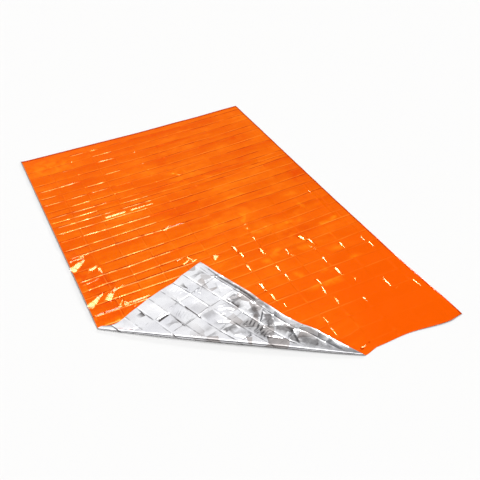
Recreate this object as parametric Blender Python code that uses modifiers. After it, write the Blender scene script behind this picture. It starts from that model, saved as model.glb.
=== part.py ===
"""Emergency foil blanket: one laminated film sheet, laid out flat with its front left corner turned over.

The sheet was packed as a map is: pleated across its width first, then down its length.
Opened and laid on the floor it keeps those creases as low ridges and valleys, and the
turned corner shows the silvered underside. Metres, +Z up; X runs across the sheet,
+Y towards its back edge, and the origin is on the floor under the middle of the sheet.
"""
import math
from typing import NamedTuple

import bmesh
import bpy
from mathutils import Vector

# Driving dimensions of the laid sheet, in metres
SHEET_WIDTH = 1.350
SHEET_LENGTH = 2.110
FILM_THICKNESS = 0.0012

# The origin's place under the sheet, midway between the edges as they lie
ORIGIN_ACROSS = 0.6795
ORIGIN_DOWN = 1.0529

# Relief of the creases
VALLEY_FLAT = 0.006
PILLOW_HEIGHT = 0.0013

# The turned corner
FOLD_LEFT = (0.000, 1.492)
FOLD_FRONT = (0.877, 2.110)
BEND_RADIUS_END = 0.0032
BEND_RADIUS_MIDDLE = 0.0090
BEND_SWELL_POWER = 0.7
BEND_CUTS = 9
FLAP_LEVEL = 0.0100
FLAP_SETTLE = 0.150
FLAP_DRAWN_IN = 0.916
FLAP_SLIP = 0.080
FLAP_CREASE_SHARE = 0.70

# How the corner quietens the creases round it
FOLD_CALM = 0.045
PRESS_MARGIN = 0.050
PRESSED_SHARE = 0.25

# The cuts merge with a crease that already passes this close
CUT_SNAP = 0.0008

ORANGE = (0.930, 0.120, 0.003, 1.0)
SILVER = (0.760, 0.770, 0.790, 1.0)


class CrossCrease(NamedTuple):
    """A crease across the sheet: its distance from the back edge at each side, and its height."""

    left: float
    right: float
    height: float


class LongCrease(NamedTuple):
    """A crease down the sheet: its distance from the left edge."""

    across: float


class EdgePoint(NamedTuple):
    """How far an edge of the sheet strays from its straight line, at a distance along it."""

    along: float
    shift: float


class Swell(NamedTuple):
    """A low rise where the sheet doesn't lie quite down: its middle, its spread and its height."""

    across: float
    down: float
    spread: float
    height: float


CROSS_CREASES = (
    CrossCrease(left=0.082, right=0.058, height=0.0045),
    CrossCrease(left=0.152, right=0.120, height=0.0),
    CrossCrease(left=0.227, right=0.200, height=0.0050),
    CrossCrease(left=0.303, right=0.265, height=0.0),
    CrossCrease(left=0.373, right=0.332, height=0.0055),
    CrossCrease(left=0.443, right=0.411, height=0.0),
    CrossCrease(left=0.506, right=0.484, height=0.0052),
    CrossCrease(left=0.576, right=0.551, height=0.0),
    CrossCrease(left=0.631, right=0.618, height=0.0048),
    CrossCrease(left=0.680, right=0.656, height=0.0),
    CrossCrease(left=0.726, right=0.694, height=0.0045),
    CrossCrease(left=0.782, right=0.760, height=0.0),
    CrossCrease(left=0.852, right=0.827, height=0.0058),
    CrossCrease(left=0.927, right=0.884, height=0.0),
    CrossCrease(left=0.992, right=0.968, height=0.0066),
    CrossCrease(left=1.106, right=1.043, height=0.0),
    CrossCrease(left=1.183, right=1.115, height=0.0060),
    CrossCrease(left=1.252, right=1.185, height=0.0),
    CrossCrease(left=1.300, right=1.252, height=0.0050),
    CrossCrease(left=1.355, right=1.312, height=0.0),
    CrossCrease(left=1.420, right=1.382, height=0.0062),
    CrossCrease(left=1.490, right=1.452, height=0.0),
    CrossCrease(left=1.556, right=1.530, height=0.0052),
    CrossCrease(left=1.622, right=1.600, height=0.0),
    CrossCrease(left=1.700, right=1.672, height=0.0050),
    CrossCrease(left=1.768, right=1.756, height=0.0),
    CrossCrease(left=1.845, right=1.835, height=0.0044),
    CrossCrease(left=1.915, right=1.908, height=0.0),
    CrossCrease(left=1.992, right=1.988, height=0.0040),
    CrossCrease(left=2.074, right=2.072, height=0.0),
)

LONG_CREASES = (
    LongCrease(across=0.124),
    LongCrease(across=0.245),
    LongCrease(across=0.369),
    LongCrease(across=0.483),
    LongCrease(across=0.602),
    LongCrease(across=0.728),
    LongCrease(across=0.838),
    LongCrease(across=0.942),
    LongCrease(across=1.055),
    LongCrease(across=1.175),
    LongCrease(across=1.297),
)

# Shifts towards the front, along the back and front edges, by distance from the left edge
BACK_EDGE = (
    EdgePoint(along=0.000, shift=0.016),
    EdgePoint(along=0.650, shift=0.014),
    EdgePoint(along=1.000, shift=0.003),
    EdgePoint(along=1.350, shift=-0.013),
)
FRONT_EDGE = (
    EdgePoint(along=0.000, shift=0.009),
    EdgePoint(along=0.877, shift=0.009),
    EdgePoint(along=0.950, shift=-0.008),
    EdgePoint(along=1.080, shift=-0.013),
    EdgePoint(along=1.279, shift=0.008),
    EdgePoint(along=1.350, shift=-0.002),
)
# Shift to the right along the right edge, by distance from the back edge
RIGHT_EDGE = (
    EdgePoint(along=0.000, shift=-0.005),
    EdgePoint(along=1.100, shift=-0.008),
    EdgePoint(along=1.600, shift=-0.005),
    EdgePoint(along=2.110, shift=0.009),
)
FRONT_EDGE_REACH = 0.250

SWELLS = (
    Swell(across=1.260, down=2.060, spread=0.110, height=0.010),
    Swell(across=0.900, down=1.160, spread=0.140, height=0.004),
    Swell(across=0.100, down=1.230, spread=0.090, height=0.004),
)


def smooth(value):
    """Ease a share from 0 to 1, held at both ends."""
    share = min(1.0, max(0.0, value))
    return share * share * (3.0 - 2.0 * share)


def along_edge(rows, distance):
    """Read an edge's shift at a distance along it, eased between the rows of its table."""
    if distance <= rows[0].along:
        return rows[0].shift
    for low, high in zip(rows, rows[1:]):
        if distance <= high.along:
            share = smooth((distance - low.along) / (high.along - low.along))
            return low.shift + (high.shift - low.shift) * share
    return rows[-1].shift


def crease_at(crease, across):
    """Give a cross crease's distance from the back edge at a place across the sheet."""
    return crease.left + (crease.right - crease.left) * across / SHEET_WIDTH


def fold_axes():
    """Give the fold's start, its direction, the direction out past it, and its length."""
    start = Vector(FOLD_LEFT)
    line = Vector(FOLD_FRONT) - start
    direction = line.normalized()
    outward = Vector((-direction.y, direction.x))
    return start, direction, outward, line.length


FOLD_START, FOLD_DIRECTION, FOLD_OUTWARD, FOLD_LENGTH = fold_axes()


def bend_radius(along):
    """Give the bend's radius along the fold: pinched at both edges and loose between them."""
    share = min(1.0, max(0.0, along / FOLD_LENGTH))
    swell = math.sin(math.pi * share) ** BEND_SWELL_POWER
    return BEND_RADIUS_END + (BEND_RADIUS_MIDDLE - BEND_RADIUS_END) * swell


def flap_tip():
    """Give where the corner of the turned flap lies on the sheet."""
    corner = Vector((0.0, SHEET_LENGTH)) - FOLD_START
    along = corner.dot(FOLD_DIRECTION)
    radius = bend_radius(along)
    length = corner.dot(FOLD_OUTWARD) - (math.pi - 1.0) * radius
    back = radius + length * FLAP_DRAWN_IN
    return FOLD_START + FOLD_DIRECTION * (along - length * FLAP_SLIP) - FOLD_OUTWARD * back


FLAP_TIP = flap_tip()


def inside_line(point, start, end):
    """Measure how far a point lies to the front of the line from start to end."""
    line = (end - start).normalized()
    return (point - start).dot(Vector((-line.y, line.x)))


def pressed(point):
    """Give the share, 0 to 1, by which the turned flap holds the sheet down at a point."""
    left_side = inside_line(point, FOLD_START, FLAP_TIP)
    right_side = inside_line(point, FLAP_TIP, Vector(FOLD_FRONT))
    nearest = min(left_side, right_side)
    return smooth(1.0 + nearest / PRESS_MARGIN)


def row_of(across, down):
    """Find the strip between two cross creases that holds a point, and the share of the way over it."""
    lower = 0.0
    for index, crease in enumerate(CROSS_CREASES):
        upper = crease_at(crease, across)
        if down <= upper:
            return index, (down - lower) / (upper - lower), upper - lower
        lower = upper
    last = len(CROSS_CREASES)
    return last, (down - lower) / (SHEET_LENGTH - lower), SHEET_LENGTH - lower


def pleat_height(across, down):
    """Give the height of the pleats across the sheet, flat for a little way beside each valley."""
    heights = [0.0] + [crease.height for crease in CROSS_CREASES] + [0.0]
    index, share, width = row_of(across, down)
    low, high = heights[index], heights[index + 1]
    flat = VALLEY_FLAT / width
    if low == 0.0:
        share = max(0.0, (share - flat) / (1.0 - flat))
    if high == 0.0:
        share = min(1.0, share / (1.0 - flat))
    return low + (high - low) * share


def pillow_height(across, down):
    """Give the lift or dip of the long creases, which turn from ridge to valley at each cross crease."""
    row, share, _ = row_of(across, down)
    bulge = 1.0 - abs(2.0 * share - 1.0)
    stations = [0.0] + [crease.across for crease in LONG_CREASES] + [SHEET_WIDTH]
    for column, (left, right) in enumerate(zip(stations, stations[1:])):
        if across <= right:
            wave = 1.0 - 2.0 * (across - left) / (right - left)
            sign = -1.0 if (row + column) % 2 else 1.0
            return PILLOW_HEIGHT * bulge * wave * sign
    return 0.0


def relief(across, down):
    """Give the height of the creased sheet over the floor, before the corner is turned."""
    height = pleat_height(across, down)
    bulge = pillow_height(across, down)
    return max(0.0, height + bulge) if height > 0.0 else 0.0


def rise(across, down):
    """Give how far the swells lift the sheet at a point."""
    total = 0.0
    for swell in SWELLS:
        distance = math.hypot(across - swell.across, down - swell.down) / swell.spread
        total += swell.height * smooth(1.0 - distance * 0.5)
    return total


def turned(along, past, height):
    """Turn a point over the fold.

    Takes its distance along the fold and past it, and its height on the orange side.
    Gives its place along the fold, past it, and above the floor.
    """
    radius = bend_radius(along)
    angle = (past + radius) / radius
    if angle <= 0.0:
        return along, past, height
    if angle < math.pi:
        reach = radius - height
        return along, -radius + reach * math.sin(angle), radius - reach * math.cos(angle)
    length = past - (math.pi - 1.0) * radius
    settle = smooth(length / FLAP_SETTLE)
    level = 2.0 * radius + (FLAP_LEVEL - 2.0 * radius) * settle
    return along - length * FLAP_SLIP, -radius - length * FLAP_DRAWN_IN, level - height


def laid_point(across, down):
    """Give where a point of the flat sheet lies, as a vector in the object's frame."""
    point = Vector((across, down)) - FOLD_START
    along = point.dot(FOLD_DIRECTION)
    past = point.dot(FOLD_OUTWARD)
    calm = smooth((abs(past) - bend_radius(along)) / FOLD_CALM)
    if past > 0.0:
        share = calm * FLAP_CREASE_SHARE
        lift = 0.0
    else:
        share = calm * (1.0 - (1.0 - PRESSED_SHARE) * pressed(Vector((across, down))))
        lift = calm * rise(across, down)
    along, past, level = turned(along, past, relief(across, down) * share + lift)
    place = FOLD_START + FOLD_DIRECTION * along + FOLD_OUTWARD * past
    back_share = 1.0 - place.y / SHEET_LENGTH
    front_share = smooth(1.0 - (SHEET_LENGTH - place.y) / FRONT_EDGE_REACH)
    sideways = along_edge(RIGHT_EDGE, place.y) * place.x / SHEET_WIDTH
    forward = along_edge(BACK_EDGE, place.x) * back_share
    forward += along_edge(FRONT_EDGE, place.x) * front_share
    return Vector((place.x + sideways - ORIGIN_ACROSS, ORIGIN_DOWN - place.y - forward, level))


def cut(mesh, start, end):
    """Cut the flat sheet along the line through two points."""
    direction = Vector((end[0] - start[0], end[1] - start[1], 0.0)).normalized()
    bmesh.ops.bisect_plane(
        mesh,
        geom=mesh.verts[:] + mesh.edges[:] + mesh.faces[:],
        dist=CUT_SNAP,
        plane_co=(start[0], start[1], 0.0),
        plane_no=(-direction.y, direction.x, 0.0),
    )


def cut_across(mesh, left, right):
    """Cut the flat sheet from its left edge to its right edge."""
    cut(mesh, (0.0, left), (SHEET_WIDTH, right))


def crease_sheet(mesh):
    """Cut the flat sheet along its creases, beside its valleys and down the middle of each pleat."""
    before = CrossCrease(left=0.0, right=0.0, height=0.0)
    after = CrossCrease(left=SHEET_LENGTH, right=SHEET_LENGTH, height=0.0)
    for crease in CROSS_CREASES:
        if crease.height > 0.0:
            cut_across(mesh, crease.left, crease.right)
        else:
            cut_across(mesh, crease.left - VALLEY_FLAT, crease.right - VALLEY_FLAT)
            cut_across(mesh, crease.left + VALLEY_FLAT, crease.right + VALLEY_FLAT)
        cut_across(mesh, (before.left + crease.left) / 2, (before.right + crease.right) / 2)
        before = crease
    cut_across(mesh, (before.left + after.left) / 2, (before.right + after.right) / 2)
    for crease in LONG_CREASES:
        cut(mesh, (crease.across, 0.0), (crease.across, SHEET_LENGTH))


def cut_bend(mesh):
    """Cut the flat sheet into narrow strips along the fold, where it rolls over."""
    first = -BEND_RADIUS_MIDDLE
    last = (math.pi - 1.0) * BEND_RADIUS_MIDDLE
    for index in range(BEND_CUTS):
        past = first + (last - first) * index / (BEND_CUTS - 1)
        start = FOLD_START + FOLD_OUTWARD * past
        cut(mesh, start, start + FOLD_DIRECTION)


def make_material(name, colour, roughness, metallic):
    """Make a Principled material of one colour."""
    material = bpy.data.materials.new(name)
    material.use_nodes = True
    shader = material.node_tree.nodes["Principled BSDF"]
    shader.inputs["Base Color"].default_value = colour
    shader.inputs["Roughness"].default_value = roughness
    shader.inputs["Metallic"].default_value = metallic
    material.diffuse_color = colour
    return material


def build_blanket(collection):
    """Build the laid blanket as one sheet of film, orange on its upper face and silvered underneath."""
    mesh = bmesh.new()
    bmesh.ops.create_grid(mesh, x_segments=1, y_segments=1, size=0.5)
    for vertex in mesh.verts:
        vertex.co.x = (vertex.co.x + 0.5) * SHEET_WIDTH
        vertex.co.y = (vertex.co.y + 0.5) * SHEET_LENGTH
    crease_sheet(mesh)
    cut_bend(mesh)
    bmesh.ops.triangulate(mesh, faces=mesh.faces[:])
    for vertex in mesh.verts:
        vertex.co = laid_point(vertex.co.x, vertex.co.y)
    bmesh.ops.reverse_faces(mesh, faces=mesh.faces[:])
    data = bpy.data.meshes.new("foil_blanket")
    mesh.to_mesh(data)
    mesh.free()
    blanket = bpy.data.objects.new("foil_blanket", data)
    collection.objects.link(blanket)
    data.materials.append(make_material("orange_film", ORANGE, 0.25, 0.0))
    data.materials.append(make_material("silver_film", SILVER, 0.18, 1.0))
    film = blanket.modifiers.new("film", "SOLIDIFY")
    film.thickness = FILM_THICKNESS
    film.offset = 1.0
    film.use_even_offset = False
    film.material_offset = 1
    return blanket


def main():
    """Clear the scene and build the blanket in its own collection."""
    for item in list(bpy.data.objects):
        bpy.data.objects.remove(item, do_unlink=True)
    collection = bpy.data.collections.new("emergency_foil_blanket")
    bpy.context.scene.collection.children.link(collection)
    build_blanket(collection)


main()
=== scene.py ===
"""Looks of an emergency foil blanket: a map-creased film sheet, laid flat with one corner turned over.

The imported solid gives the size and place. This script replaces it with a finer sheet on the
same folds, glossy orange above and silvered below, on a pale studio floor. Metres, +Z up.
Places on the flat sheet run across it from its left edge and down it from its back edge.
"""
import logging
import math
from collections.abc import Iterable
from dataclasses import dataclass, field
from enum import Enum

import bmesh
import bpy
import numpy as np
from mathutils import Matrix, Vector


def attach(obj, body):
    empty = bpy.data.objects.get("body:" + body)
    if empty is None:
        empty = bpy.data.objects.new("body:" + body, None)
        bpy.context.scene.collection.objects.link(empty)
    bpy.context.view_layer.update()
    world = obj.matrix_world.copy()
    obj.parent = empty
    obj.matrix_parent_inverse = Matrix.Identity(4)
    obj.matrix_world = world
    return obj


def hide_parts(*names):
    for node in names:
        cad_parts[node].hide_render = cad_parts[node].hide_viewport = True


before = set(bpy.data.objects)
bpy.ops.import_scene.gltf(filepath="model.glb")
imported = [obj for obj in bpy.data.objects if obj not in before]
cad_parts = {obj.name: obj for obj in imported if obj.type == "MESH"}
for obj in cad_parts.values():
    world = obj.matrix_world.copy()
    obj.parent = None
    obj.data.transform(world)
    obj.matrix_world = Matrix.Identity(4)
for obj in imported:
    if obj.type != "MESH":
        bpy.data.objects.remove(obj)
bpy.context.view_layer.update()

LOG = logging.getLogger("foil_blanket")
MM = 0.001
WIDTH = 1.350
LENGTH = 2.110
ORIGIN_ACROSS = 0.6795
ORIGIN_DOWN = 1.0529
CAMERA_PLACE = (-0.9922, -2.5867, 2.0298)

Colour = tuple[float, float, float]
Field = np.ndarray


# Small helpers


def table(kind: type, *rows: tuple) -> tuple:
    """Make one entry of a kind from each row of its values."""
    return tuple(kind(*row) for row in rows)


def ease(share: Field) -> Field:
    """Ease shares from 0 to 1, held at both ends."""
    held = np.clip(share, 0.0, 1.0)
    return held * held * (3.0 - 2.0 * held)


def midway(share: Field, end: float) -> Field:
    """Give 1 for shares midway from 0 to 1, easing to 0 over an end at each side."""
    return ease(share / end) * ease((1.0 - share) / end)


def uneven(first: Field, second: Field, salt: float) -> Field:
    """Scatter pairs of whole numbers to values from -1 to 1, the same on every run.

    Args:
        first: The first number of each pair.
        second: The second number of each pair.
        salt: Sets one scatter apart from another.

    Returns:
        A value for each pair.
    """
    mixed = np.sin(first * 12.9898 + second * 78.233 + salt * 37.719) * 43758.5453
    return 2.0 * (mixed - np.floor(mixed)) - 1.0


def rolling(across: Field, down: Field, pitch: float, salt: float) -> Field:
    """Give a smooth uneven height field, from -1 to 1.

    Args:
        across, down: Places on the flat sheet.
        pitch: The spacing of its rises.
        salt: Sets one field apart from another.

    Returns:
        The height at each place.
    """
    column, row = across / pitch, down / pitch
    left, top = np.floor(column), np.floor(row)
    share_x, share_y = ease(column - left), ease(row - top)
    near = uneven(left, top, salt) * (1 - share_x) + uneven(left + 1, top, salt) * share_x
    far = uneven(left, top + 1, salt) * (1 - share_x) + uneven(left + 1, top + 1, salt) * share_x
    return near * (1 - share_y) + far * share_y


def facing(azimuth: float, elevation: float) -> Field:
    """Give the direction at an azimuth, turning from the back to the right, and an elevation."""
    turn, lift = math.radians(azimuth), math.radians(elevation)
    return np.array((math.sin(turn) * math.cos(lift), math.cos(turn) * math.cos(lift), math.sin(lift)))


# The lamps, and the slopes that catch them


@dataclass(frozen=True)
class FarLamp:
    """A far lamp: where it stands, how wide it looks, in degrees, and its power."""

    name: str
    azimuth: float
    elevation: float
    spread: float
    power: float

    def direction(self) -> Field:
        """Give the direction towards the lamp."""
        return facing(self.azimuth, self.elevation)

    def build(self) -> bpy.types.Object:
        """Build the lamp."""
        light = bpy.data.lights.new(self.name, "SUN")
        light.energy = self.power
        light.angle = math.radians(self.spread)
        lamp = bpy.data.objects.new(self.name, light)
        toward = Vector(self.direction())
        lamp.rotation_euler = (-toward).to_track_quat("-Z", "Y").to_euler()
        lamp.location = toward * 4.0
        bpy.context.scene.collection.objects.link(lamp)
        return lamp


KEY_LAMP = FarLamp("key_lamp", azimuth=17, elevation=58, spread=3.4, power=0.58)
SIDE_LAMP = FarLamp("side_lamp", azimuth=52, elevation=20, spread=3.4, power=0.78)


def catching_slopes(across: Field, down: Field, lamp: FarLamp) -> tuple[Field, Field]:
    """Give the slopes at which the film shows a lamp's gleam.

    Args:
        across, down: Places on the flat sheet.
        lamp: The lamp to be caught.

    Returns:
        The rise of the film across the sheet and down it, at each place.
    """
    place = np.stack((across - ORIGIN_ACROSS, ORIGIN_DOWN - down, np.zeros_like(across)), axis=-1)
    toward = np.array(CAMERA_PLACE) - place
    toward /= np.linalg.norm(toward, axis=-1, keepdims=True)
    half = toward + lamp.direction()
    return -half[..., 0] / half[..., 2], half[..., 1] / half[..., 2]


# The creases and the edges


@dataclass(frozen=True)
class CrossCrease:
    """A crease across the sheet: its distance from the back edge at each side, and its height."""

    left: float
    right: float
    height: float


@dataclass(frozen=True)
class EdgePoint:
    """How far an edge strays from its straight line, at a distance along it."""

    along: float
    shift: float


@dataclass(frozen=True)
class Swell:
    """A low rise where the sheet doesn't lie quite down: its middle, its spread and its height."""

    across: float
    down: float
    spread: float
    height: float


# columns: left, right, height
CROSS_CREASES = table(
    CrossCrease,
    (0.082, 0.058, 0.0045), (0.152, 0.12, 0.0), (0.227, 0.2, 0.005), (0.303, 0.265, 0.0),
    (0.373, 0.332, 0.0055), (0.443, 0.411, 0.0), (0.506, 0.484, 0.0052), (0.576, 0.551, 0.0),
    (0.631, 0.618, 0.0048), (0.68, 0.656, 0.0), (0.726, 0.694, 0.0045), (0.782, 0.76, 0.0),
    (0.852, 0.827, 0.0058), (0.927, 0.884, 0.0), (0.992, 0.968, 0.0066), (1.106, 1.043, 0.0),
    (1.183, 1.115, 0.006), (1.252, 1.185, 0.0), (1.3, 1.252, 0.005), (1.355, 1.312, 0.0),
    (1.42, 1.382, 0.0062), (1.49, 1.452, 0.0), (1.556, 1.53, 0.0052), (1.622, 1.6, 0.0),
    (1.7, 1.672, 0.005), (1.768, 1.756, 0.0), (1.845, 1.835, 0.0044), (1.915, 1.908, 0.0),
    (1.992, 1.988, 0.004), (2.074, 2.072, 0.0),
)
LONG_CREASES = (0.124, 0.245, 0.369, 0.483, 0.602, 0.728, 0.838, 0.942, 1.055, 1.175, 1.297)

# columns: along, shift
BACK_EDGE = table(
    EdgePoint,
    (0.0, 0.016), (0.65, 0.014), (1.0, 0.003), (1.35, -0.013),
)
FRONT_EDGE = table(
    EdgePoint,
    (0.0, 0.009), (0.877, 0.009), (0.95, -0.008), (1.08, -0.013), (1.279, 0.008), (1.35, -0.002),
)
RIGHT_EDGE = table(
    EdgePoint,
    (0.0, -0.005), (1.1, -0.008), (1.6, -0.005), (2.11, 0.009),
)
FLAP_SIDE = table(
    EdgePoint,
    (1.492, 0.0), (1.59, 0.032), (1.7, 0.02), (1.8, 0.013), (1.85, 0.011), (1.92, 0.017), (1.99, 0.006),
    (2.11, 0.0),
)
FLAP_FRONT = table(
    EdgePoint,
    (0.0, 0.0), (0.124, 0.006), (0.3, 0.008), (0.39, 0.018), (0.52, 0.026), (0.57, 0.022), (0.66, 0.006),
    (0.877, 0.0),
)
# columns: across, down, spread, height
SWELLS = table(
    Swell,
    (1.26, 2.06, 0.11, 0.003), (0.9, 1.16, 0.14, 0.002), (0.1, 1.23, 0.09, 0.004),
)


# Marks on the sheet


@dataclass(frozen=True)
class Mark:
    """A mark on the flat sheet: its middle, its heading in degrees, its length and its width.

    The heading turns from across the sheet towards down it.
    """

    across: float
    down: float
    heading: float
    length: float
    width: float

    def half_width(self) -> float:
        """Give how far the mark reaches on each side of its line."""
        return self.width / 2.0

    def steps(self, across: Field, down: Field) -> tuple[Field, Field]:
        """Give how far places lie along the mark's heading and beside it, from its middle."""
        turn = math.radians(self.heading)
        step_x, step_y = across - self.across, down - self.down
        along = step_x * math.cos(turn) + step_y * math.sin(turn)
        return along, step_y * math.cos(turn) - step_x * math.sin(turn)

    def window(self, across: Field, down: Field, end: float, side: float, taper: float = 0.0) -> Field:
        """Give 1 within the mark, easing to 0 over shares of its half length and half width.

        Args:
            across, down: Places on the flat sheet.
            end: The share of the half length.
            side: The share of the half width.
            taper: The share by which the width shrinks along the heading.

        Returns:
            The share at each place.
        """
        along, beside = self.steps(across, down)
        width = self.width * (1.0 - taper * np.clip(along / self.length + 0.5, 0.0, 1.0))
        reach = ease((1.0 - 2.0 * np.abs(along) / self.length) / end)
        return reach * ease((1.0 - 2.0 * np.abs(beside) / width) / side)


@dataclass(frozen=True)
class Wrinkle(Mark):
    """A short extra fold. Its width runs from the fold's line to its foot on each side."""

    height: float
    end_fade: float = 0.35

    def half_width(self) -> float:
        """Give how far the fold reaches on each side of its line."""
        return self.width

    def lift(self, across: Field, down: Field) -> Field:
        """Give how far the fold lifts the film at each place."""
        along, beside = self.steps(across, down)
        flank = np.maximum(0.0, 1.0 - np.abs(beside) / self.width)
        return self.height * flank * ease((1.0 - 2.0 * np.abs(along) / self.length) / self.end_fade)


@dataclass(frozen=True)
class Ripples(Mark):
    """A patch of fine parallel ripples, with their pitch and height."""

    pitch: float
    height: float
    end_fade: float = 0.4
    side_fade: float = 0.3
    wander: float = 0.35
    wander_pitch: float = 30 * MM

    def lift(self, across: Field, down: Field) -> Field:
        """Give how far the ripples lift the film at each place."""
        wander = self.wander * rolling(across, down, self.wander_pitch, 9.0)
        wave = np.sin(2 * math.pi * (self.steps(across, down)[1] / self.pitch + wander))
        return self.height * self.window(across, down, self.end_fade, self.side_fade) * wave


@dataclass(frozen=True)
class Shade(Mark):
    """A patch of painted tone for shade, dark reflections and sheen, with its depth and how soft its rim
    is.
    """

    depth: float
    rim: float = 0.15

    def tone(self, across: Field, down: Field) -> Field:
        """Give the depth of tone at each place."""
        return self.depth * self.window(across, down, self.rim, self.rim)


@dataclass(frozen=True)
class Facet(Mark):
    """A small flat patch that leans to catch a lamp.

    The width shrinks along the heading by the share that the taper gives. A long patch is made of
    pieces that lean alike.
    """

    lamp: FarLamp
    taper: float = 0.6
    piece: float = 45 * MM
    end_fade: float = 0.20
    side_fade: float = 0.25

    def reach(self, across: Field, down: Field) -> Field:
        """Give 1 inside the patch, easing to 0 at its rim."""
        return self.window(across, down, self.end_fade, self.side_fade, self.taper)

    def settle(self, across: Field, down: Field, height: Field) -> Field:
        """Flatten the film within the patch and lean it.

        Args:
            across, down: Places on the flat sheet.
            height: The film's height at each place.

        Returns:
            The height with the patch.
        """
        reach = self.reach(across, down)
        if reach.max() <= 0.0:
            return height
        level = float((height * reach).sum() / reach.sum())
        slope_across, slope_down = catching_slopes(np.array(self.across), np.array(self.down), self.lamp)
        turn = math.radians(self.heading)
        along, beside = self.steps(across, down)
        along -= self.piece * np.round(along / self.piece)
        lean = (slope_across * math.cos(turn) + slope_down * math.sin(turn)) * along
        lean += (slope_down * math.cos(turn) - slope_across * math.sin(turn)) * beside
        return height * (1.0 - reach) + (level + lean) * reach


@dataclass(frozen=True)
class Gleam:
    """A stretch of a cross crease, counted from the back, whose flank catches the key lamp.

    The strength is the share of the slope that would catch it best.
    """

    crease: int
    start: float
    end: float
    strength: float = 0.86
    fade: float = 12 * MM

    def reach(self, line: Field, across: Field) -> Field:
        """Give 1 along the stretch, easing to 0 at its ends."""
        inside = ease(np.minimum(across - self.start, self.end - across) / self.fade)
        return np.where(line == self.crease, inside, 0.0)


def marks(kind: type[Mark], rows: Iterable[tuple], *shared: object) -> tuple:
    """Make marks of a kind from rows of values.

    Args:
        kind: The class of the marks.
        rows: For each mark its place, length and width in millimetres, its heading in degrees, and
            then the values of its own kind.
        shared: Values that all these marks have before those of their own kind.

    Returns:
        The marks, in the order of the rows.
    """
    made = []
    for across, down, heading, length, width, *own in rows:
        across, down, length, width = (size / 1000 for size in (across, down, length, width))
        made.append(kind(across, down, heading, length, width, *shared, *own))
    return tuple(made)


def folds(*rows: tuple) -> tuple:
    """Make wrinkles from rows that end with the height, which is in millimetres too."""
    return marks(Wrinkle, [(*row[:5], row[5] * MM) for row in rows])


# columns: across, down, heading, length, width, height
WRINKLES = folds(
    (140, 1235, 88, 300, 6, -1.6), (60, 1200, -8, 110, 8, 1.6), (30, 1085, 30, 70, 9, -1.8),
    (730, 545, 38, 90, 10, 1.8), (765, 535, -20, 70, 8, -1.6), (715, 770, -25, 40, 9, 1.8),
    (760, 670, 65, 130, 9, 1.3), (120, 260, 80, 130, 8, -1.6), (280, 130, 38, 130, 8, 1.3),
    (715, 890, 95, 90, 7, -1.5), (880, 1110, 118, 170, 26, 3), (985, 1215, 20, 150, 22, 2.4),
    (1180, 1125, -8, 280, 16, 2), (800, 1225, 150, 110, 16, 1.8), (960, 1480, 60, 130, 12, 1.5),
    (860, 640, 25, 100, 14, 1.8), (1060, 1480, 65, 150, 7, -1.5), (900, 1270, -35, 150, 8, 1.4),
    (1270, 1150, 92, 420, 8, 1.2), (960, 560, -4, 500, 8, -1.2), (1080, 640, -2, 420, 8, 1.2),
)
FLAP_WRINKLES = folds(
    (80, 1575, 50, 110, 9, 5), (140, 1735, 78, 80, 9, 3), (95, 1870, 115, 70, 7, 1.8),
    (395, 1880, 82, 80, 11, -3), (345, 1880, 40, 80, 9, 2.2), (285, 2030, 70, 80, 11, 3.2),
    (440, 2030, 118, 110, 9, -3), (520, 2035, 60, 90, 10, 2.6), (620, 2030, 140, 100, 10, 2.8),
    (480, 1870, 20, 110, 9, 1.8), (560, 1960, 35, 90, 9, 2), (180, 2040, -30, 110, 9, 1.6),
)
# columns: across, down, heading, length, width, pitch, height
RIPPLES = marks(Ripples, (
    (200, 1806, 118, 60, 85, 0.013, 0.55 * MM), (110, 1955, 122, 66, 100, 0.014, 0.50 * MM),
    (60, 1880, 112, 60, 80, 0.02, 0.50 * MM), (480, 1958, 92, 66, 150, 0.018, 1.20 * MM),
    (300, 1960, 60, 70, 80, 0.026, 0.90 * MM),
))
# columns: across, down, heading, length, width, depth, rim
# painted dark reflections and shade on the silvered flap
SHADES = marks(Shade, (
    (60, 1690, -8, 64, 5, 1.0), (150, 1733, 92, 62, 14, 1.0), (203, 1742, 75, 40, 14, 0.5),
    (225, 1762, -3, 60, 5, 1.0), (215, 1843, -2, 110, 5, 1.0), (62, 1936, -2, 44, 5, 1.0),
    (190, 1930, -4, 80, 5, 1.0), (170, 2006, -3, 80, 5, 1.0), (285, 2000, -2, 110, 5, 1.0),
    (51, 2040, 72, 64, 14, 0.55), (285, 2035, 0, 46, 44, 0.6), (275, 1880, 80, 56, 30, 0.35),
    (220, 1880, 90, 60, 70, 0.12), (395, 1878, 76, 62, 24, 0.6), (436, 1876, 70, 40, 18, 0.35),
    (408, 2030, -32, 70, 30, 0.7), (480, 2040, -38, 75, 36, 0.75), (560, 2040, 24, 80, 34, 0.75),
    (655, 2028, 24, 120, 40, 0.6), (730, 2050, 20, 60, 20, 0.3), (480, 1955, 0, 160, 66, 0.32),
    (590, 1950, 0, 60, 80, 0.22), (240, 2094, -1, 260, 12, 0.85), (400, 2092, 0, 60, 12, 0.35),
    (90, 2098, -2, 60, 8, 0.6), (330, 1800, 80, 60, 10, 0.35), (370, 1790, 88, 60, 14, 0.4),
))
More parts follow.
